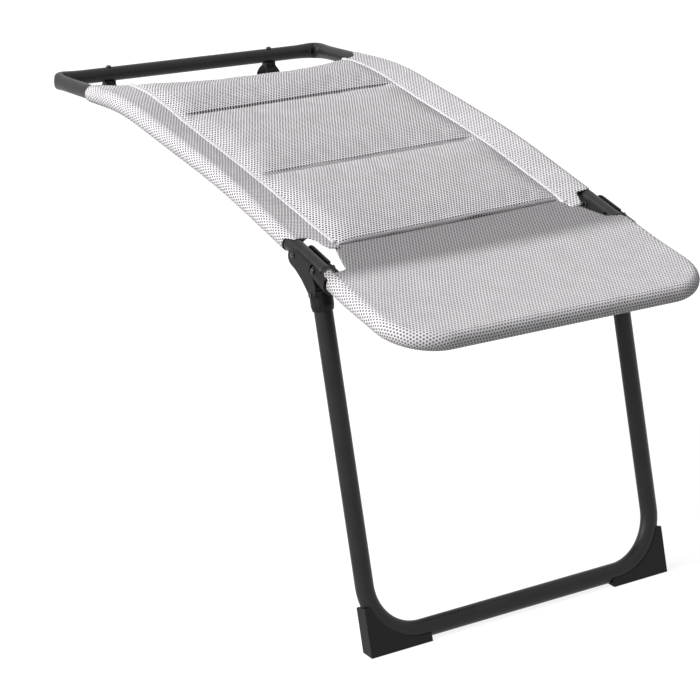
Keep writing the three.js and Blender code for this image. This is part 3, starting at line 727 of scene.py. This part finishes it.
def quilt_rows():
    """Stations of the panel's rows, close together at the seams, each with its pad's two ends."""
    rows, ends = [], []
    for start, end in zip(QUILT_SEAMS[:-1], QUILT_SEAMS[1:]):
        first, last = start + LIP_ROWS[-1], end - REST_ROWS[0]
        between = np.linspace(first, last, round((last - first) / QUILT_CELL) + 1)[1:-1]
        pad = [start + d for d in LIP_ROWS] + list(between) + [end - d for d in REST_ROWS]
        pad = pad[0 if not rows else 1:]
        rows += pad
        ends += [(start, end)] * len(pad)
    return np.array(rows), np.array(ends)


def pad_swell(front, rear):
    """Fullness of a pad by distance from its seams: a steep front lip, a long rear slope."""
    front, rear = np.maximum(front, 0), np.maximum(rear, 0)
    lip = 0.44 * (1 - np.exp(-front / 0.45)) + 0.56 * (1 - np.exp(-front / 8.0))
    slope = 0.10 * (1 - np.exp(-rear / 0.8)) + 0.90 * (1 - np.exp(-((rear / 17.0) ** 1.1)))
    return lip * slope


def quilt_shape():
    """Top and bottom skins on one grid, welded at the border."""
    s, ends = quilt_rows()
    columns = 2 * round(SEAM_HALF / QUILT_CELL) + 1
    across = np.linspace(-1, 1, columns)[None, :]
    across = across * (1.2 - 0.2 * across**2)
    s = s[:, None]
    half = seam_half(s) - BORDER_INSET
    x = half * across
    side_swell = 1 - np.exp(-half * (1 - np.abs(across)) / SIDE_SLOPE)
    crease = smooth(CREASE_HALF + CREASE_FADE_OUT, CREASE_HALF - CREASE_FADE_IN, np.abs(x))
    front, rear = s - ends[:, :1], ends[:, 1:] - s
    along = pad_swell(front, rear)
    hem = s[-1] - s
    hem_swell = 1 - np.exp(-hem / HEM_SLOPE)
    whole = pad_swell(s - s[0], hem + BEYOND_HEM) * hem_swell
    last = ends[:, 1:] == s[-1]
    along = np.where(last, pad_swell(front, hem + BEYOND_HEM) * hem_swell, along)
    along = crease * along + (1 - crease) * np.maximum(along, 0.85 * whole)
    free = smooth(station(FREE_FROM), s[-1], s)
    sag = (MIDDLE_SAG + REAR_SAG * free) * (1 - across**4)
    level = sheet_level(s) - sag
    skewed = s + SKEW * x * (1 - free) - REAR_BOW * free**2 * (1 - np.abs(across) ** 5)
    top = level + SKIN_TOP + PAD_TOP * side_swell * along
    bottom = level - SKIN_UNDER - PAD_UNDER * side_swell * along
    border = np.zeros(top.shape, bool)
    border[[0, -1]] = border[:, [0, -1]] = True
    top[border] = bottom[border] = np.broadcast_to(level, top.shape)[border]
    sheets = [place(x, skewed, rise) for rise in (top, bottom)]
    flat = np.stack(np.broadcast_arrays(SEAM_HALF * across, s), -1)
    held = (np.abs(front) < SEWN_AHEAD) | (np.abs(rear) < SEWN_BEHIND)
    sewn = held & (np.abs(x) < CREASE_HALF + SEWN_SIDE)
    return sheets, flat, border, sewn


def quilt():
    sheets, flat, border, sewn = quilt_shape()
    count = border.size
    lower = np.arange(count).reshape(border.shape)
    inside = ~border
    lower[inside] = count + np.arange(inside.sum())
    points = np.vstack([sheets[0].reshape(-1, 3), sheets[1][inside]])
    cloth = np.vstack([flat.reshape(-1, 2), flat[inside]])
    pins = np.concatenate([(border | sewn).ravel(), sewn[inside]])
    top = np.array(grid_faces(*border.shape))
    bottom = lower.ravel()[top][:, ::-1]
    piece = mesh_object("quilt", points, [*top.tolist(), *bottom.tolist()], pad_cloth, cloth)
    caps = np.where(np.arange(len(points)) < count, PUFF_TOP, PUFF_UNDER)
    inflate(piece, pins, caps)
    soften = piece.modifiers.new("finer", "SUBSURF")
    soften.levels = soften.render_levels = 1
    return piece


def inflate(piece, pins, caps):
    """Fills the panel between its seams by cloth simulation. Caps limit each point's way."""
    group = piece.vertex_groups.new(name="sewn")
    group.add(np.flatnonzero(pins).tolist(), 1.0, "REPLACE")
    start = np.empty(len(pins) * 3)
    piece.data.vertices.foreach_get("co", start)
    sim = piece.modifiers.new("filling", "CLOTH")
    settings = sim.settings
    settings.quality = 6
    settings.mass = 0.3
    settings.tension_stiffness = settings.compression_stiffness = 25
    settings.shear_stiffness = 10
    settings.bending_stiffness = 1.5
    settings.tension_damping = settings.compression_damping = 10
    settings.vertex_group_mass = "sewn"
    settings.use_pressure = True
    settings.uniform_pressure_force = 4.0
    settings.shrink_min = -0.003
    settings.effector_weights.gravity = 0.0
    sim.collision_settings.use_collision = False
    sim.point_cache.frame_start, sim.point_cache.frame_end = 1, 20
    scene = bpy.context.scene
    for step in range(1, 21):
        scene.frame_set(step)
    graph = bpy.context.evaluated_depsgraph_get()
    end = np.empty_like(start)
    piece.evaluated_get(graph).data.vertices.foreach_get("co", end)
    piece.modifiers.remove(sim)
    piece.vertex_groups.remove(group)
    scene.frame_set(1)
    move = (end - start).reshape(-1, 3)
    length = np.linalg.norm(move, axis=1, keepdims=True)
    limit = caps[:, None] * MM
    move *= limit * np.tanh(length / limit) / np.maximum(length, 1e-9)
    piece.data.vertices.foreach_set("co", start + move.ravel())
    piece.data.update()


padded_panel = finished(quilt(), "frame", "padded_cloth", "rear_pad", "middle_pad", "front_pad")

# Side bands: each wraps its rail and runs in to the side seam. Inward is the distance from the
# rail's middle towards the seam.

BAND_TOP_FRONT = 157.5
BAND_UNDER_FRONT = 169.0
BAND_INNER_FRONT = 133.0
BAND_REAR = 657.0
RIGHT_REAR_EXTRA = 9.0
WRAP_START = 80.0
WRAP_END = 322.0
SHEET_STEPS = 18
# Angles of the wrap between which its front edge runs from the top end to the one beneath
EDGE_TURN = (100, 150)
# Where the fabric beneath meets the sheet, its sag, and the hem's points: (inward, rise)
UNDER_END = (24.0, 1.0)
UNDER_SAG = 1.2
HEM_POINTS = ((27.0, 0.6), (30.0, 0.2))
# The sleeve hangs off the top of its rail, and is looser towards the rear
LOOSE_FROM, LOOSE_TO = 270.0, 450.0
SLEEVE_EASE = 0.065
SLEEVE_DROP, REAR_DROP = 0.75, 0.6
SHEET_CROWN = 0.5
SEAM_LIFT = 0.3


def band_section():
    """(inward, rise) of the wrap round the rail, from its top outwards, and of the hem beneath."""
    angles = np.radians(np.linspace(WRAP_START, WRAP_END, 44))
    wrap = SLEEVE * np.stack([np.cos(angles), np.sin(angles)], -1)
    u = np.linspace(0, 1, 8)[1:, None]
    under = wrap[-1] * (1 - u) + np.array(UNDER_END) * u
    under[:, 1] -= UNDER_SAG * np.sin(math.pi * u[:, 0])
    return wrap, np.vstack([under, HEM_POINTS])


def band_front(inward, under):
    """Reach of the front edge, which leaves room for the folded socket's cheeks."""
    top = BAND_INNER_FRONT + (BAND_TOP_FRONT - BAND_INNER_FRONT) * smooth(28.0, 15.0, inward)
    return top + (BAND_UNDER_FRONT - top) * under


def band_rear(inward, extra):
    """Reach of the rear edge, which runs from the seam's end out to the sleeve's end."""
    share = np.clip((inward - 6.0) / 35.5, 0, 1)
    return PAD_END + (BAND_REAR + extra - PAD_END) * (1 - share) ** 2.6


def side_band(word, side):
    wrap, under = band_section()
    inner = np.vstack([wrap, under])
    sheet_share = np.linspace(1, 0, SHEET_STEPS, endpoint=False)
    sheet = wrap[0, 0] + sheet_share * (HALF - SEAM_HALF - wrap[0, 0])
    nominal = np.concatenate([sheet, inner[:, 0]])
    wrap_angles = np.linspace(WRAP_START, WRAP_END, len(wrap))
    below = np.concatenate([
        np.zeros(SHEET_STEPS), smooth(*EDGE_TURN, wrap_angles), np.ones(len(under)),
    ])
    extra = RIGHT_REAR_EXTRA if side > 0 else 0.0
    start, end = station(band_front(nominal, below)), station(band_rear(nominal, extra))
    t = np.linspace(0, 1, 140)[:, None]
    s = start * (1 - t) + end * t
    loose = smooth(station(LOOSE_FROM), station(LOOSE_TO), s)
    size = 1 + SLEEVE_EASE * loose
    drop = SLEEVE_DROP + REAR_DROP * loose
    rim_s, rim_size, rim_drop = (v[:, SHEET_STEPS:] for v in (s, size, drop))
    low = sheet_level(rim_s) - 1.0
    hang = np.concatenate([np.zeros(len(wrap)), np.linspace(0.1, 1, len(under))])
    upper = smooth(-0.2, 1.0, inner[:, 1] / SLEEVE)
    rim_rise = inner[:, 1] * rim_size - rim_drop * upper + hang * low
    rim_inward = inner[:, 0] * rim_size
    top_inward, top_rise = rim_inward[:, :1], rim_rise[:, :1]
    sheet_s = s[:, :SHEET_STEPS]
    seam_inward, seam_rise = HALF - seam_half(sheet_s), sheet_level(sheet_s) + SEAM_LIFT
    inward = np.hstack([top_inward + sheet_share * (seam_inward - top_inward), rim_inward])
    crown = SHEET_CROWN * np.sin(math.pi * sheet_share)
    sheet_rise = top_rise + sheet_share * (seam_rise - top_rise) + crown
    rise = np.hstack([sheet_rise, rim_rise])
    points = place(side * (HALF - inward), s, rise)
    middle = np.stack([inward[len(t) // 2], rise[len(t) // 2]], -1)
    run = np.concatenate([[0], np.cumsum(np.linalg.norm(np.diff(middle, axis=0), axis=1))])
    across = side * (SEAM_HALF + np.broadcast_to(run, s.shape))
    flat = np.stack([across, s - side * SKEW * SEAM_HALF], -1)
    faces = grid_faces(*s.shape, flip=side < 0)
    piece = mesh_object(f"side_band_{word}_cloth", points, faces, band_cloth, flat)
    thickened(piece, CLOTH)
    finished(piece, "frame", "mesh_cloth", f"side_band_{word}")


# Front cover: one sheet over the front loop, its rim wrapped round the tube

COVER_COLUMNS = 121
COVER_SAG = 1.2
COVER_UNDER_SEAM = 0.6
EASE_AHEAD = 25
TUCK_DROP = 5.5
RIM_END = (-40.0, 6.6)
RIM_END_ANGLE = -146
RIM_SAG = 1.0
COVER_TOP_END = 88.0
COVER_UNDER_END = 76.5
EDGE_START_HALF = 185.5
EDGE_END_HALF = 163.0
TUCK = 7.0


def cover_rows():
    turn = np.linspace(0, math.pi / 2, 24)
    corner = FRONT_CORNER * (1 - np.cos(turn))
    sleeve_end, seam = station(COVER_TOP_END), station(FRONT_SEAM)
    sides = np.linspace(FRONT_CORNER, sleeve_end, 34)[1:]
    rear = np.linspace(sleeve_end, seam, 28)[1:]
    tuck = seam + np.array([1.0, 2.5, 4.5, TUCK])
    return np.concatenate([corner, sides, rear, tuck]), len(corner) + len(sides)


def cover_half(s):
    """Half the cover's width: round the corners, along the rails, then in beside the bracket."""
    inset = np.clip(FRONT_CORNER - s, 0, FRONT_CORNER)
    along_rail = HALF - FRONT_CORNER + np.sqrt(FRONT_CORNER**2 - inset**2)
    sleeve_end, seam = station(COVER_TOP_END), station(FRONT_SEAM)
    share = np.clip((seam - s) / (seam - sleeve_end), 0, 1)
    edge = EDGE_END_HALF + (EDGE_START_HALF - EDGE_END_HALF) * share**0.9
    corner = (HALF - EDGE_START_HALF) * smooth(0.93, 1.0, share) ** 2
    return np.where(s <= sleeve_end, along_rail, edge + corner)


def cover_rise(s, across):
    """The cover falls from the tube's top to the pads' seam, and is tucked in under the pads."""
    sleeve_end, seam = station(COVER_TOP_END), station(FRONT_SEAM)
    back = smooth(sleeve_end - EASE_AHEAD, seam, s)
    front = smooth(0, FRONT_CORNER, s)
    sag = COVER_SAG * front * (1 - across**2)
    tucked = TUCK_DROP * smooth(seam - 3, seam + TUCK, s)
    return SLEEVE * (1 - back) + (sheet_level(s) - COVER_UNDER_SEAM) * back - sag - tucked


def rim_section():
    """(outward, rise) points from the top of the tube round to the hem beneath the sheet."""
    angles = np.radians(np.linspace(90, RIM_END_ANGLE, 44))[1:]
    wrap = SLEEVE * np.stack([np.cos(angles), np.sin(angles)], -1)
    u = np.linspace(0, 1, 9)[1:, None]
    under = wrap[-1] * (1 - u) + np.array(RIM_END) * u
    under[:, 1] -= RIM_SAG * np.sin(math.pi * u[:, 0])
    return np.vstack([wrap, under]), np.concatenate([angles, np.full(len(under), angles[-1])])


def front_cover():
    s, sleeved = cover_rows()
    across = np.linspace(-1, 1, COVER_COLUMNS)[None, :]
    x = cover_half(s)[:, None] * across
    grid_s, across = np.broadcast_arrays(s[:, None], across)
    skewed = grid_s + SKEW * x * smooth(FRONT_CORNER, station(FRONT_SEAM), grid_s)
    top = place(x, skewed, cover_rise(grid_s, across))
    flat = np.stack([x, grid_s], -1)
    rows, columns = x.shape
    index = np.arange(rows * columns).reshape(rows, columns)
    edge = np.concatenate([
        index[:sleeved, -1][::-1], index[0, 1:-1][::-1], index[:sleeved, 0],
    ])
    ex, es = flat.reshape(-1, 2)[edge].T
    inset = HALF - FRONT_CORNER
    away = unit(np.stack([ex - np.clip(ex, -inset, inset), np.minimum(es - FRONT_CORNER, 0)], -1))
    section, angles = rim_section()
    run = np.concatenate([[0], np.cumsum(np.linalg.norm(np.diff(section, axis=0), axis=1))])
    run += np.linalg.norm(section[0] - [0, SLEEVE])
    # The sleeve ends further forward beneath, where the saddle is
    sleeve_end, under_end = station(COVER_TOP_END), station(COVER_UNDER_END)
    limit = under_end + (sleeve_end - under_end) * smooth(0.3, 0.75, angles)
    pull = np.clip((es - FRONT_CORNER) / (sleeve_end - FRONT_CORNER), 0, 1)[:, None]
    es = es[:, None] - pull * (sleeve_end - limit)
    ahead = ahead_at(es)
    outward = away[:, None, :1] * np.array([1.0, 0, 0]) + away[:, None, 1:] * ahead
    centre = place(ex[:, None], es, 0)
    rim = centre + section[None, :, :1] * outward + section[None, :, 1:] * up_at(es)
    start = np.stack(np.broadcast_arrays(ex[:, None], es), -1)
    rim_flat = start + run[None, :, None] * away[:, None]
    first = rows * columns
    ring = np.hstack([edge[:, None], first + np.arange(es.size).reshape(es.shape)])
    local = np.array(grid_faces(*ring.shape, flip=True))
    faces = grid_faces(rows, columns) + ring.ravel()[local].tolist()
    points = np.vstack([top.reshape(-1, 3), rim.reshape(-1, 3)])
    cloth = np.vstack([flat.reshape(-1, 2), rim_flat.reshape(-1, 2)])
    piece = mesh_object("front_cover_cloth", points, faces, cover_cloth, cloth)
    thickened(piece, CLOTH)
    return finished(piece, "frame", "mesh_cloth", "front_cover")


side_band("left", -1)
side_band("right", 1)
cover = front_cover()

# Seams

RIDGE_HALF = 2.7
RIDGE_LIFT = 0.6
# (amount, length) of the seam line's slight waves
LONG_WAVE, SHORT_WAVE = (0.35, 61.0), (0.22, 23.0)
STITCH_ASIDE = 1.1
SIDE_STITCH_LIFT = 1.75
CROSS_STITCH_LIFT = 1.1


def seam_ridge(word, side):
    """The seam's allowance, sewn down as a strip over the edges of the band and the pads."""
    s = np.linspace(station(FRONT_SEAM) - 3, station(PAD_END) + 1, 190)
    h = RIDGE_HALF
    section = rounded([
        (-h, -1.6), (-h, 0.9), (-h + 0.8, 1.6), (0.0, 1.3),
        (h - 0.8, 1.6), (h, 0.9), (h, -1.6),
    ], 4)
    wave = LONG_WAVE[0] * np.sin(s * TURN / LONG_WAVE[1])
    wave += SHORT_WAVE[0] * np.sin(s * TURN / SHORT_WAVE[1] + side)
    path = place(side * (seam_half(s) + wave), s, sheet_level(s) + RIDGE_LIFT)
    rings = swept(path, up_at(s), section)
    rows, columns = rings.shape[:2]
    faces = grid_faces(rows, columns, around=True)
    faces += [list(range(columns))[::-1], [(rows - 1) * columns + c for c in range(columns)]]
    run = np.linspace(0, 3 * RIDGE_HALF, columns)[None, :]
    flat = np.stack(np.broadcast_arrays(side * (SEAM_HALF + run), s[:, None]), -1)
    piece = mesh_object(f"side_seam_{word}", rings, faces, ridge_cloth_painted_highlight, flat)
    return finished(piece, "frame", "mesh_cloth")


def line_across(reach):
    x = np.linspace(-CREASE_HALF, CREASE_HALF, 80)
    s = np.full(len(x), float(station(reach)))
    level = sheet_level(s) - MIDDLE_SAG * (1 - (x / SEAM_HALF) ** 4)
    return place(x, s + SKEW * x, level + CROSS_STITCH_LIFT), up_at(s)


def line_along(side, aside):
    s = np.linspace(station(FRONT_SEAM + 2), station(PAD_END - 2), 140)
    rise = sheet_level(s) + SIDE_STITCH_LIFT
    return place(side * (seam_half(s) + aside), s, rise), up_at(s)


for word, side in (("left", -1), ("right", 1)):
    seam_ridge(word, side)
    sewn_lines = [line_along(side, aside) for aside in (-STITCH_ASIDE, STITCH_ASIDE)]
    finished(stitches(f"side_stitches_{word}", sewn_lines, thread), "frame", "mesh_cloth")

cross_lines = [line_across(reach) for reach in (MIDDLE_SEAM, REAR_SEAM)]
finished(stitches("cross_stitches", cross_lines, thread), "frame", "padded_cloth")

# Floor, light and camera. The floor, like the surround, is seen as plain white with a shadow.

FLOOR_HALF = 40000.0
FLOOR_GAP = 0.3
FLOOR_GREY = 0.30
FLOOR_GLOW = 0.86
# The surround's strength, and how much it grows towards each axis
SURROUND = 0.13
SURROUND_TILT = (-0.30, 0.04, 0.32)
KEY_TOWARDS = (-0.80, 0.093, 0.60)
KEY_LEVEL = 0.97
KEY_DEGREES = 38
LAMP_DISTANCE = 3.0
CAMERA_LENS = 107.61
CAMERA_PLACE = (-1.3406, -2.0951, 1.0636)
CAMERA_AHEAD = (0.508, 0.798, -0.323)
CAMERA_RIGHT = (0.8435, -0.537, 0.0)


def stage_floor():
    h = FLOOR_HALF
    points = [(-h, -h, -FLOOR_GAP), (h, -h, -FLOOR_GAP), (h, h, -FLOOR_GAP), (-h, h, -FLOOR_GAP)]
    t = Tree("floor")
    floor = mesh_object("floor", points, [[0, 1, 2, 3]], t.material)
    t.tree.nodes.remove(t.shader)
    seen = seen_by(t)
    pale = t.add("BsdfDiffuse", {"Color": grey(FLOOR_GREY)})
    glow = t.add("Emission", {"Color": grey(1.0), "Strength": FLOOR_GLOW})
    both = t.add("AddShader", {0: pale, 1: glow})
    bounce = t.add("BsdfDiffuse", {"Color": grey(FLOOR_GREY)})
    mixed = t.add("MixShader", {0: seen, 1: bounce, 2: both})
    out = t.tree.nodes["Material Output"]
    t.tree.links.new(mixed, out.inputs[0])


def seen_by(t):
    """1 for rays that show the backdrop, directly or in a reflection."""
    rays = t.tree.nodes.new("ShaderNodeLightPath")
    mirrored = t.math("MAXIMUM", rays.outputs["Is Glossy Ray"], rays.outputs["Is Transmission Ray"])
    return t.math("MAXIMUM", rays.outputs["Is Camera Ray"], mirrored)


class WorldTree(Tree):
    def __init__(self):
        world = bpy.data.worlds.new("studio")
        bpy.context.scene.world = world
        world.use_nodes = True
        self.tree = world.node_tree
        self.background = self.tree.nodes["Background"]


def studio():
    """A soft surround, brighter from the left and above, and one soft key lamp on that side."""
    world = WorldTree()
    towards = world.add("TexCoord", output="Generated")
    lean = world.add("VectorMath", {0: towards, 1: SURROUND_TILT}, output="Value",
                     operation="DOT_PRODUCT")
    soft = world.math("MAXIMUM", world.math("ADD", lean, SURROUND), 0.0)
    world.give(world.background.inputs["Color"], grey(1.0))
    seen = seen_by(world)
    unseen = world.math("MULTIPLY", world.math("SUBTRACT", 1.0, seen), soft)
    world.give(world.background.inputs["Strength"], world.math("ADD", seen, unseen))
    sun("key", KEY_TOWARDS, KEY_LEVEL, KEY_DEGREES)


def sun(name, towards, level, degrees):
    """A distant soft lamp. Facing it, a white surface gets that level."""
    lamp = bpy.data.lights.new(name, "SUN")
    lamp.energy = math.pi * level
    lamp.angle = math.radians(degrees)
    holder = bpy.data.objects.new(name, lamp)
    holder.rotation_mode = "QUATERNION"
    holder.rotation_quaternion = Vector(towards).to_track_quat("Z", "Y")
    holder.location = LAMP_DISTANCE * Vector(towards).normalized()
    bpy.context.scene.collection.objects.link(holder)


def photo_camera():
    data = bpy.data.cameras.new("camera")
    data.sensor_width = 36.0
    data.lens = CAMERA_LENS
    data.clip_start, data.clip_end = 0.05, 100.0
    camera = bpy.data.objects.new("camera", data)
    ahead = Vector(CAMERA_AHEAD).normalized()
    right = Vector(CAMERA_RIGHT).normalized()
    up = right.cross(ahead)
    turn = Matrix((right, up, -ahead)).transposed().to_4x4()
    camera.matrix_world = Matrix.Translation(CAMERA_PLACE) @ turn
    bpy.context.scene.collection.objects.link(camera)
    bpy.context.scene.camera = camera


stage_floor()
studio()
photo_camera()
bpy.context.scene.view_settings.view_transform = "Standard"
